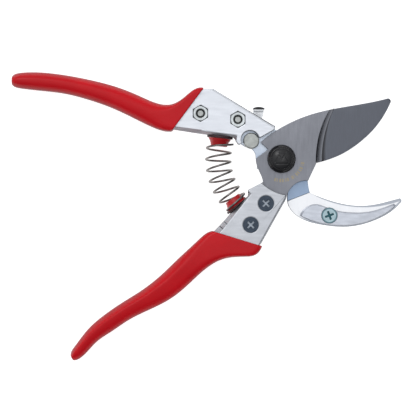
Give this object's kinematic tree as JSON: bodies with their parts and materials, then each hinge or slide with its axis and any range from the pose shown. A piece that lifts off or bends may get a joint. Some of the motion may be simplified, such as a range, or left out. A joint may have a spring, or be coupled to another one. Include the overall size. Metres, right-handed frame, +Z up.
{
  "type": "bypass pruning shears",
  "caption": "Hand pruning shears with a curved cutting blade, a hooked counter blade, vinyl-covered handles, a coil return spring and a thumb lock, lying open.",
  "frame": {"origin": "centre of the pivot bolt head's flat back face, on the surface the shears lie on", "axes": "+X towards the jaws, +Y across towards the upper handle, +Z up along the pivot axis, away from the surface"},
  "size_m": [0.1953, 0.1444, 0.016],
  "materials": {
    "handle_metal": "satin",
    "grip": "semi-gloss dipped vinyl",
    "counter_steel": "satin",
    "blade_steel": "ground",
    "zinc_screw": "zinc plated",
    "dark_screw": "blackened",
    "nut_steel": "satin",
    "seat_plastic": "matte",
    "spring_steel": "oiled",
    "bush_brass": "turned",
    "cap_plastic": "satin",
    "pad_plastic": "matte"
  },
  "bodies": {
    "upper_half": {"upper_handle": "handle_metal", "upper_grip": "grip", "counter_blade": "counter_steel", "hook_body": "handle_metal", "hook_screw": "zinc_screw", "upper_handle_screws": "zinc_screw", "upper_handle_nuts": "nut_steel", "upper_spring_seat": "seat_plastic", "upper_seat_pin": "nut_steel", "return_spring": "spring_steel", "pivot_bolt": "dark_screw", "pivot_back_washer": "nut_steel", "pivot_bush": "bush_brass", "pivot_spring_washer": "spring_steel", "pivot_nut": "nut_steel", "pivot_cap": "cap_plastic", "lock_rivet": "nut_steel", "lock_washer": "nut_steel"},
    "lower_half": {"cutting_blade": "blade_steel", "lower_handle": "handle_metal", "lower_grip": "grip", "lower_handle_screws": "dark_screw", "lower_handle_nuts": "nut_steel", "lower_spring_seat": "seat_plastic", "lower_seat_pin": "nut_steel"},
    "lock": {"lock_lever": "counter_steel", "lock_thumb_pad": "pad_plastic"}
  },
  "joints": [
    {"name": "main_pivot", "type": "hinge", "parent": "upper_half", "child": "lower_half", "pos_m": [0, 0, 0], "axis": [0, 0, -1], "range_deg": [0, 47.5], "stiffness_Nm_per_rad": 1.2, "springref_deg": -24.06, "deforming": ["return_spring"]},
    {"name": "lock_pivot", "type": "hinge", "parent": "upper_half", "child": "lock", "pos_m": [-0.0151, 0.00905, 0], "axis": [0, 0, -1], "range_deg": [0, 17]}
  ]
}
